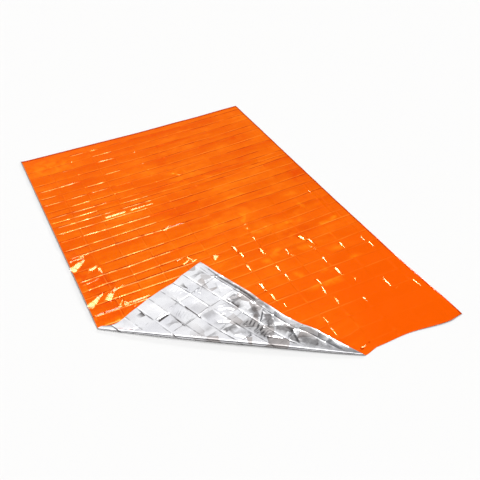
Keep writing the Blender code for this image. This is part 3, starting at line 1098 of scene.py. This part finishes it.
@dataclass(frozen=True)
class OrangeFilm:
    """The glossy orange face."""

    plain: Colour = (0.825, 0.095, 0.0003)
    worn: Colour = (0.762, 0.119, 0.0006)
    deep: Colour = (0.70, 0.070, 0.0002)
    pale: Colour = (0.88, 0.180, 0.005)
    painted_sheen_tone: Colour = (0.89, 0.192, 0.004)
    light: Colour = (0.98, 0.260, 0.025)
    glow: Colour = (1.00, 0.550, 0.160)
    dark: Colour = (0.44, 0.030, 0.0002)
    left_edge_shadow: Colour = (0.27, 0.24, 0.20)
    tint: Colour = (1.0, 0.45, 0.08)
    edge_reach: float = 10.5 * MM
    back_share: float = 0.5
    left_edge_shadow_reach: float = 3.6 * MM
    roughness: float = 0.22
    metallic: float = 0.11
    coat: float = 0.062
    coat_roughness: float = 0.10

    def make(self) -> bpy.types.Material:
        """Build the material."""
        board = NodeBoard.fresh(bpy.data.materials.new("orange_film"))
        bump = self.bump(board)
        return board.finish(
            Base_Color=self.tone(board),
            Roughness=board.noise(55.0).line(0.12, self.roughness - 0.06),
            Metallic=self.metallic,
            Specular_IOR_Level=0.0,
            Specular_Tint=self.tint,
            Coat_Weight=self.coat,
            Coat_Roughness=self.coat_roughness,
            Normal=bump,
            Coat_Normal=bump,
        )

    def tone(self, board: NodeBoard) -> Signal:
        """Lay the film's tones: wear, then painted sheen and shade on crumples, pleats, creases and edges.
        """
        worn, falls, ridge = board.share("worn"), board.share("falls"), board.share("ridge")
        cloud = board.noise(4.0, detail=3.0)
        streaked = board.noise(7.0, 40.0, 3.0).line(0.55, cloud)
        blend = board.noise(24.0, detail=4.0, bend=0.6).line(0.45, streaked)
        crumpled = cloud.line(0.4, board.noise(22.0, detail=4.0, bend=0.6).line(3.6, -1.2)).above(0.0)
        painted_sheen_and_shade = board.share("painted_sheen_and_shade") * crumpled
        flecks = board.noise(6.0, 16.0).line(1.7, -0.50).above(0.08)
        # painted shade on the panels that fall away and painted light on those that rise, strongest by the
        # ridges
        painted_pleat_shading = ridge * ridge * worn
        soft = board.noise(5.0, 9.0).line(1.5, -0.25) * falls * painted_pleat_shading
        rises = falls.below(1.0).line(-1.0, 1.0) * painted_pleat_shading * 0.30
        broken = board.noise(8.0, 24.0).line(3.2, -1.05)
        shine = board.noise(22.0, 6.0, 1.0).line(3.0, -0.95).below(0.56).above(0.12)
        # painted shadow along the left edge, which stands off the floor
        left_edge_shadow = board.sides()[0].line(-1.0 / self.left_edge_shadow_reach, 1.6)
        tone = self.plain
        for share, colour in (
            (worn, self.worn),
            (blend.line(-3.0, 2.9) * worn, self.deep),
            (blend.line(3.0, -3.05) * worn, self.pale),
            # painted shade and painted sheen in crumpled patches
            (painted_sheen_and_shade, self.deep),
            (painted_sheen_and_shade * -1.0, self.painted_sheen_tone),
            # painted highlight on the lit crease flanks and on the facets
            (board.share("light") * flecks, self.light),
            # painted shade and light on the pleats
            (soft, self.deep),
            (rises, self.pale),
            # painted shade on the shaded crease flanks
            (board.share("dark") * broken, self.dark),
            # painted highlight glow where the crease flanks gleam
            (board.share("gleam") * shine, self.glow),
            # painted shade along the back and right edges
            (self.painted_edge_shade(board), self.dark),
            (left_edge_shadow, self.left_edge_shadow),
        ):
            tone = board.mix(share, tone, colour)
        return tone

    def painted_edge_shade(self, board: NodeBoard) -> Signal:
        """Give the share of painted shade along the back and right edges, where the film dips to the floor.
        """
        across, down = board.sides()
        nearest = (down * self.back_share).below(across.line(-1.0, WIDTH))
        return nearest.line(-1.0 / self.edge_reach, 1.0).above(0.0) * 1.7

    def bump(self, board: NodeBoard) -> bpy.types.NodeSocket:
        """Give the film's fine relief, calmer on the lit flanks and rippled where they gleam."""
        crinkle = board.noise(8.0, 60.0) + board.noise(22.0, bend=0.4)
        height = crinkle * board.share("light").line(-0.60, 1.0)
        waver = board.noise(130.0, 20.0, 0.0) * board.share("gleam")
        height = waver.line(0.5, height)
        return board.add("ShaderNodeBump", Strength=0.45, Distance=1.4 * MM, Height=height).outputs[0]


@dataclass(frozen=True)
class SilverFilm:
    """The bright silvered face."""

    base: Colour = (0.93, 0.925, 0.935)
    dull: Colour = (0.74, 0.74, 0.78)
    deep: Colour = (0.075, 0.062, 0.060)
    grey: Colour = (0.46, 0.42, 0.405)
    painted_orange_reflection: Colour = (0.90, 0.33, 0.32)
    roughness: float = 0.11
    cells: float = 15.0
    crumple: float = 4.0
    sway: float = 22 * MM

    def make(self) -> bpy.types.Material:
        """Build the material."""
        board = NodeBoard.fresh(bpy.data.materials.new("silver_film"))
        bent = self.bent_place(board)
        cells = board.add("ShaderNodeTexVoronoi", Vector=bent, Scale=self.cells, Randomness=1.0)
        crumple = board.share("crumple")
        facets = Signal(board, cells.outputs["Distance"]) * crumple
        height = facets.line(self.crumple, board.noise(30.0, detail=3.0, bend=0.6))
        bump = board.add("ShaderNodeBump", Strength=0.6, Distance=1.2 * MM, Height=height)
        parts = board.add("ShaderNodeSeparateColor", Color=cells.outputs["Color"])
        cell = Signal(board, parts.outputs[0]).line(5.0, -2.9).above(0.0) * crumple
        broken = board.noise(26.0).line(6.0, -2.5).below(0.9)
        tone = self.dull
        for share, colour in (
            (board.noise(9.0, detail=4.0).line(2.4, -0.6), self.base),
            # painted pink reflection of the orange on the silvered face
            (board.share("painted_sheen_and_shade").above(0.0) * 0.75, self.painted_orange_reflection),
            # painted grey reflections of the room in the crumpled facets
            (cell.below(0.85), self.grey),
            # painted shade along the flap's creases
            (board.share("dark") * broken, self.deep),
            # painted dark reflections on the flap and the bend
            (board.share("shade") * board.noise(60.0).line(0.5, 0.75), self.deep),
        ):
            tone = board.mix(share, tone, colour)
        rough = board.noise(70.0).line(0.10, self.roughness - 0.05)
        return board.finish(Base_Color=tone, Metallic=1.0, Roughness=rough, Normal=bump.outputs[0])

    def bent_place(self, board: NodeBoard) -> bpy.types.NodeSocket:
        """Give the place on the film, shifted a little so that no facet's side runs straight."""
        place = board.place()
        sway = board.add("ShaderNodeTexNoise", Vector=place, Scale=18.0, Detail=1.0).outputs["Color"]
        reach = (self.sway, self.sway, 0.0)
        return board.math("MULTIPLY_ADD", sway, reach, place, kind="ShaderNodeVectorMath").socket


@dataclass(frozen=True)
class CutEdge:
    """The film's cut edge, a bright line."""

    base: Colour = (0.75, 0.70, 0.68)
    bright: Colour = (0.85, 0.84, 0.84)

    def make(self) -> bpy.types.Material:
        """Build the material."""
        board = NodeBoard.fresh(bpy.data.materials.new("cut_edge"))
        tone = board.mix(board.noise(90.0), self.base, self.bright)
        return board.finish(Base_Color=tone, Metallic=0.6, Roughness=0.4)


# The blanket


def points_of(mesh: bpy.types.Mesh) -> Field:
    """Give a mesh's points, a row for each."""
    points = np.zeros(len(mesh.vertices) * 3)
    mesh.vertices.foreach_get("co", points)
    return points.reshape(-1, 3)


@dataclass
class FoilBlanket:
    """The film sheet as it lies, creased and with its corner turned over."""

    pattern: CreasePattern = field(default_factory=CreasePattern)
    corner: TurnedCorner = field(default_factory=TurnedCorner)
    outline: Outline = field(default_factory=Outline)
    flat_size: tuple[float, float] = (1.37, 2.13)
    thickness: float = 0.35 * MM
    fold_calm: float = 45 * MM
    draw_start: float = 40 * MM
    pressed_share: float = 0.25
    flap_share: float = 0.70
    mark_margin: float = 1.5 * MM
    mark_rounds: int = 4
    broad_shade: float = 10 * MM
    least_gap: float = 3.6 * MM
    strip_start: float = 2.072
    strip_slope: float = 1.6 * MM
    bend_cuts: int = 22
    first_band: tuple[float, float] = (0.55, 0.30)
    second_band: tuple[float, float] = (1.9, 0.28)
    smooth_angle: float = 8.0
    bunch: float = 0.42
    weld: float = 0.3 * MM
    crumple_across: tuple[float, float] = (0.24, 0.26)
    crumple_down: tuple[float, float] = (1.96, 0.08)
    crumple_end: tuple[float, float] = (0.62, 0.10)
    crumple_least: float = 0.06
    wear: float = 1.25
    wear_start: float = 0.10
    cross_steps: tuple[float, ...] = (0.0, 5.0 * MM, 8.0 * MM)
    long_steps: tuple[float, ...] = (0.0, 5.4 * MM, 8.0 * MM, 18 * MM, 34 * MM)

    def stations(self, lines: Field, steps: tuple[float, ...]) -> Field:
        """Spread grid lines between creases, closest beside each crease.

        Args:
            lines: The places of the edges and creases in order, a row for each.
            steps: The distances from a crease at which a grid line runs.

        Returns:
            The places of all grid lines in order, a row for each.
        """
        spread = []
        for low, high in zip(lines, lines[1:]):
            shrink = np.minimum(1.0, (high - low) * self.bunch / steps[-1])
            spread += [low + step * shrink for step in steps]
            spread += [(low + high) / 2.0]
            spread += [high - step * shrink for step in reversed(steps[1:])]
        return np.array([*spread, lines[-1]])

    def lay(self, across: Field, down: Field) -> tuple[Field, Field, Field]:
        """Lay points of the flat sheet on the floor.

        Args:
            across, down: Places on the flat sheet.

        Returns:
            The points, a row for each, the painted dark reflections on the silvered face, and the painted
            sheen, shade and pink reflection.
        """
        along, past = self.corner.split(across, down)
        radius = self.corner.radius(along)
        calm = ease((np.abs(past) - radius) / self.fold_calm)
        flap = ease(past / self.fold_calm)
        pressed = 1.0 - (1.0 - self.pressed_share) * self.corner.pressed(across, down)
        share = np.where(past > 0.0, self.flap_share, pressed) * calm
        height = self.pattern.relief(across, down, flap, share).height
        for mark in (*WRINKLES, *FLAP_WRINKLES, *RIPPLES):
            height += mark.lift(across, down) * np.maximum(share, 0.5 * calm)
        height += calm * np.where(past > 0.0, self.strip_lift(down), self.rise(across, down))
        for mark in FACETS:
            height = mark.settle(across, down, height)
        # painted dark reflections on the flap and the round bend
        shade = sum(mark.tone(across, down) for mark in SHADES) * flap + self.bend_shade(along, past)
        # painted sheen and shade on the orange face, and a painted pink reflection on the flap
        painted_sheen_and_shade = sum(mark.tone(across, down) for mark in PAINTED_SHEEN_AND_SHADE)
        turned = past > radius
        drawn = np.subtract(self.corner.split(*self.outline.draw_in(across, down)), (along, past))
        along, past = np.add((along, past), drawn * ease((past - radius) / self.draw_start))
        along, past, level = self.corner.turn(along, past, height)
        past = self.corner.bowed(along, past)
        level = np.maximum(level, np.where(turned, self.least_gap, 0.0))
        x, y = self.outline.place(*self.corner.join(along, past))
        return np.stack((x, y, level), axis=1), np.clip(shade, 0.0, 1.0), np.clip(painted_sheen_and_shade, -1.0, 1.0)

    def bend_shade(self, along: Field, past: Field) -> Field:
        """Give the two painted dark bands that stand for what the round bend mirrors, wider towards its
        front end.
        """
        radius = self.corner.radius(along)
        turn = np.clip((past + radius) / radius, 0.0, math.pi)
        front = ease((along / self.corner.length - 0.35) / 0.2)
        middle, spread = self.first_band
        first = (0.6 + 0.4 * front) * np.exp(-(((turn - middle) / (spread + spread * front)) ** 2))
        middle, spread = self.second_band
        return first + 0.45 * np.exp(-(((turn - middle) / spread) ** 2))

    def strip_lift(self, down: Field) -> Field:
        """Give how far the flap's outer strip slopes down to its edge, as a height of the film."""
        strip = (down - self.strip_start) / (LENGTH - self.strip_start)
        return self.strip_slope * np.clip(strip * 1.15, 0.0, 1.0)

    @staticmethod
    def rise(across: Field, down: Field) -> Field:
        """Give how far the swells lift the sheet."""
        total = np.zeros_like(across)
        for swell in SWELLS:
            distance = np.hypot(across - swell.across, down - swell.down) / swell.spread
            total += swell.height * ease(1.0 - distance * 0.5)
        return total

    def flat_mesh(self) -> bpy.types.Mesh:
        """Build the flat sheet as a grid that follows the creases, cut along the bend."""
        columns = self.stations(self.pattern.long_stations(), self.long_steps)
        rows = self.stations(self.pattern.cross_lines(columns)[0], self.cross_steps)
        grid = bmesh.new()
        bmesh.ops.create_grid(grid, x_segments=len(columns) - 1, y_segments=len(rows) - 1, size=0.5)
        mesh = bpy.data.meshes.new("foil_sheet")
        grid.to_mesh(mesh)
        grid.free()
        flat = points_of(mesh)
        column = np.rint((flat[:, 0] + 0.5) * (len(columns) - 1)).astype(int)
        row = np.rint((flat[:, 1] + 0.5) * (len(rows) - 1)).astype(int)
        flat[:, 0] = columns[column]
        flat[:, 1] = rows[row, column]
        mesh.vertices.foreach_set("co", flat.ravel())
        cutting = bmesh.new()
        cutting.from_mesh(mesh)
        self.cut_bend(cutting)
        self.cut_marks(cutting)
        cutting.to_mesh(mesh)
        cutting.free()
        return mesh

    def cut_bend(self, cutting: bmesh.types.BMesh) -> None:
        """Cut the flat sheet into narrow strips along the fold, where it rolls over."""
        outward = 1j * self.corner.direction
        radius = self.corner.radius_middle
        for past in np.linspace(-radius, (math.pi - 1.0) * radius, self.bend_cuts):
            start = self.corner.left_end + outward * past
            bmesh.ops.bisect_plane(
                cutting,
                geom=cutting.verts[:] + cutting.edges[:] + cutting.faces[:],
                dist=self.weld,
                plane_co=(start.real, start.imag, 0.0),
                plane_no=(outward.real, outward.imag, 0.0),
            )

    def cut_marks(self, cutting: bmesh.types.BMesh) -> None:
        """Cut the flat sheet finer where it has an extra fold, facet, patch or ripples."""
        finer = (
            (WRINKLES, 5.0 * MM),
            (FLAP_WRINKLES, 4.5 * MM),
            (RIPPLES, 4.5 * MM),
            (FACETS, 3.6 * MM),
            ([mark for mark in SHADES if mark.width < self.broad_shade], 3.0 * MM),
            ([mark for mark in SHADES if mark.width >= self.broad_shade], 8.0 * MM),
        )
        for _ in range(self.mark_rounds):
            edges = cutting.edges[:]
            ends = np.array([(*edge.verts[0].co.xy, *edge.verts[1].co.xy) for edge in edges])
            middle_x, middle_y = (ends[:, 0] + ends[:, 2]) / 2.0, (ends[:, 1] + ends[:, 3]) / 2.0
            length = np.hypot(ends[:, 0] - ends[:, 2], ends[:, 1] - ends[:, 3])
            picked = np.zeros(len(edges), dtype=bool)
            for mark, step in ((mark, step) for rows, step in finer for mark in rows):
                along, beside = mark.steps(middle_x, middle_y)
                near = np.abs(along) <= mark.length / 2.0 + self.mark_margin
                near &= np.abs(beside) <= mark.half_width() + self.mark_margin
                picked |= (length > step) & near
            chosen = [edges[index] for index in np.nonzero(picked)[0]]
            bmesh.ops.subdivide_edges(cutting, edges=chosen, cuts=1, use_grid_fill=True)
        crowded = [face for face in cutting.faces if len(face.verts) > 4]
        bmesh.ops.triangulate(cutting, faces=crowded)

    @staticmethod
    def begin(distance: Field, span: tuple[float, float]) -> Field:
        """Ease from 0 to 1 from a start on, over a reach."""
        return ease((distance - span[0]) / span[1])

    def point_shares(self, across: Field, down: Field) -> dict[str, Field]:
        """Give the shares that the finishes read at the sheet's points."""
        crumple = 0.75 * self.begin(across, self.crumple_across) + 0.6 * self.begin(down, self.crumple_down)
        crumple = np.clip(crumple, self.crumple_least, 1.0)
        crumple *= 1.0 - 0.85 * self.begin(across, self.crumple_end)
        worn = np.clip(self.wear * crease_force(across, down, "cross") - self.wear_start, 0.0, 1.0)
        return {"crumple": crumple, "worn": worn, "ridge": self.pattern.pleat_tones(across, down)[1]}

    def face_shares(self, across: Field, down: Field) -> dict[str, Field]:
        """Give the shares for painted highlight, shade and glow at the middles of the sheet's faces."""
        flap = ease(self.corner.split(across, down)[1] / self.fold_calm)
        lines = self.pattern.relief(across, down, flap, np.ones_like(flap))
        # the facets get the painted highlight tone too
        for mark in FACETS:
            lines.light = np.maximum(lines.light, mark.reach(across, down))
        falls = self.pattern.pleat_tones(across, down)[0] * (1.0 - flap)
        return {"light": lines.light, "dark": lines.dark, "gleam": lines.gleam, "falls": falls}

    def build(self) -> bpy.types.Object:
        """Build the laid sheet with its two faces and its cut edge."""
        mesh = self.flat_mesh()
        flat = points_of(mesh)
        points, shade, painted_sheen_and_shade = self.lay(flat[:, 0], flat[:, 1])
        corners = np.zeros(len(mesh.loops), dtype=np.int32)
        mesh.loops.foreach_get("vertex_index", corners)
        first = np.zeros(len(mesh.polygons), dtype=np.int32)
        mesh.polygons.foreach_get("loop_start", first)
        sides = np.diff(np.append(first, len(corners)))
        middle = np.add.reduceat(flat[corners], first) / sides[:, None]
        mesh.uv_layers.new(name="film").data.foreach_set("uv", flat[corners, :2].ravel())
        at_points = {"shade": shade, "painted_sheen_and_shade": painted_sheen_and_shade, **self.point_shares(flat[:, 0], flat[:, 1])}
        at_faces = self.face_shares(middle[:, 0], middle[:, 1])
        for domain, shares in (("FACE", at_faces), ("POINT", at_points)):
            for name, share in shares.items():
                mesh.attributes.new(name, "FLOAT", domain).data.foreach_set("value", share)
        mesh.vertices.foreach_set("co", points.ravel())
        mesh.flip_normals()
        for _ in FilmSide:
            mesh.materials.append(None)
        sheet = bpy.data.objects.new("foil_sheet", mesh)
        bpy.context.scene.collection.objects.link(sheet)
        self.thicken(sheet)
        return sheet

    def thicken(self, sheet: bpy.types.Object) -> None:
        """Give the sheet its other face and its edge, and shade it smooth but for the edge."""
        solid = sheet.modifiers.new("film", "SOLIDIFY")
        solid.thickness = self.thickness
        solid.offset = 1.0
        solid.use_even_offset = False
        solid.material_offset = FilmSide.SILVER.value
        solid.material_offset_rim = FilmSide.EDGE.value
        depsgraph = bpy.context.evaluated_depsgraph_get()
        made = bpy.data.meshes.new_from_object(sheet.evaluated_get(depsgraph))
        sheet.modifiers.clear()
        sheet.data = made
        made.name = "foil_sheet"
        made.shade_smooth()
        made.set_sharp_from_angle(angle=math.radians(self.smooth_angle))

    def dress(self, sheet: bpy.types.Object) -> None:
        """Give the sheet its finishes and say what it stands for."""
        for side, finish in (
            (FilmSide.SILVER, SilverFilm()),
            (FilmSide.ORANGE, OrangeFilm()),
            (FilmSide.EDGE, CutEdge()),
        ):
            sheet.data.materials[side.value] = finish.make()
        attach(sheet, "root")
        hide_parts("foil_blanket")


# The studio


@dataclass(frozen=True)
class StudioFloor:
    """A wide pale floor, just under the sheet."""

    half_width: float = 30.0
    level: float = -0.4 * MM
    tone: Colour = (0.765, 0.762, 0.755)

    def build(self) -> bpy.types.Object:
        """Build the floor."""
        bpy.ops.mesh.primitive_plane_add(size=self.half_width * 2.0, location=(0.0, 0.0, self.level))
        floor = bpy.context.object
        floor.name = "studio_floor"
        board = NodeBoard.fresh(bpy.data.materials.new("studio_floor"))
        finish = board.finish(Base_Color=self.tone, Roughness=0.9, Specular_IOR_Level=0.0)
        floor.data.materials.append(finish)
        return floor


@dataclass(frozen=True)
class StudioScreen:
    """A soft bright screen of the room: its direction, its extent in degrees and its brightness.

    The screen is even out to the inner angle and fades out by the outer one.
    """

    azimuth: float
    elevation: float
    inner: float
    outer: float
    level: float


SCREENS = (
    StudioScreen(azimuth=0, elevation=90, inner=22, outer=44, level=1.70),
    StudioScreen(azimuth=4, elevation=38, inner=12, outer=34, level=0.80),
    StudioScreen(azimuth=-60, elevation=30, inner=20, outer=60, level=0.50),
    StudioScreen(azimuth=150, elevation=35, inner=15, outer=50, level=0.40),
)


@dataclass(frozen=True)
class StudioWorld:
    """The room round the floor: a dim room with soft bright screens, before a pale wall."""

    room: Colour = (0.205, 0.208, 0.215)
    wall: Colour = (0.975, 0.975, 0.970)

    def build(self) -> None:
        """Build the world's shader from the direction of each ray."""
        world = bpy.data.worlds.new("studio")
        bpy.context.scene.world = world
        board = NodeBoard.fresh(world)
        ray = board.add("ShaderNodeTexCoord").outputs["Generated"]
        level = 0.0
        for screen in SCREENS:
            toward = board.add("ShaderNodeVectorMath", operation="DOT_PRODUCT")
            board.put(toward.inputs[0], ray)
            board.put(toward.inputs[1], facing(screen.azimuth, screen.elevation))
            fade = board.add(
                "ShaderNodeMapRange",
                interpolation_type="SMOOTHSTEP",
                Value=toward.outputs["Value"],
                From_Min=math.cos(math.radians(screen.outer)),
                From_Max=math.cos(math.radians(screen.inner)),
            )
            level = Signal(board, fade.outputs[0]).line(screen.level, level)
        lit = board.math("ADD", level, self.room, kind="ShaderNodeVectorMath")
        seen = board.add("ShaderNodeLightPath").outputs["Is Camera Ray"]
        mixed = board.add("ShaderNodeMixShader", Fac=seen)
        for slot, colour in zip(mixed.inputs[1:], (lit, self.wall)):
            board.put(slot, board.add("ShaderNodeBackground", Color=colour).outputs[0])
        board.add("ShaderNodeOutputWorld", Surface=mixed.outputs[0])


@dataclass(frozen=True)
class StudioCamera:
    """A camera above the front left of the sheet."""

    azimuth: float = -24.304
    elevation: float = 37.568
    roll: float = -2.319
    lens: float = 53.13
    sensor: float = 36.0
    farthest: float = 200.0

    def build(self) -> bpy.types.Object:
        """Build the camera and make it the scene's own."""
        back = Vector(facing(180.0 - self.azimuth, self.elevation))
        level = Vector((0.0, 0.0, 1.0)).cross(back).normalized()
        upright = back.cross(level)
        tilt = math.radians(self.roll)
        right = level * math.cos(tilt) + upright * math.sin(tilt)
        up = upright * math.cos(tilt) - level * math.sin(tilt)
        data = bpy.data.cameras.new("studio_camera")
        data.lens = self.lens
        data.sensor_width = self.sensor
        data.clip_end = self.farthest
        camera = bpy.data.objects.new("studio_camera", data)
        axes = Matrix((right, up, back)).transposed().to_4x4()
        camera.matrix_world = Matrix.Translation(CAMERA_PLACE) @ axes
        bpy.context.scene.collection.objects.link(camera)
        bpy.context.scene.camera = camera
        return camera


def main() -> None:
    """Build the studio and the blanket in order."""
    logging.basicConfig(level=logging.INFO, format="%(name)s: %(message)s")
    bpy.context.scene.view_settings.view_transform = "Standard"
    StudioCamera().build()
    StudioWorld().build()
    for lamp in (KEY_LAMP, SIDE_LAMP):
        lamp.build()
    StudioFloor().build()
    LOG.info("studio built")
    blanket = FoilBlanket()
    sheet = blanket.build()
    blanket.dress(sheet)
    LOG.info("sheet built: %d vertices, %d faces", len(sheet.data.vertices), len(sheet.data.polygons))


if __name__ == "__main__":
    main()
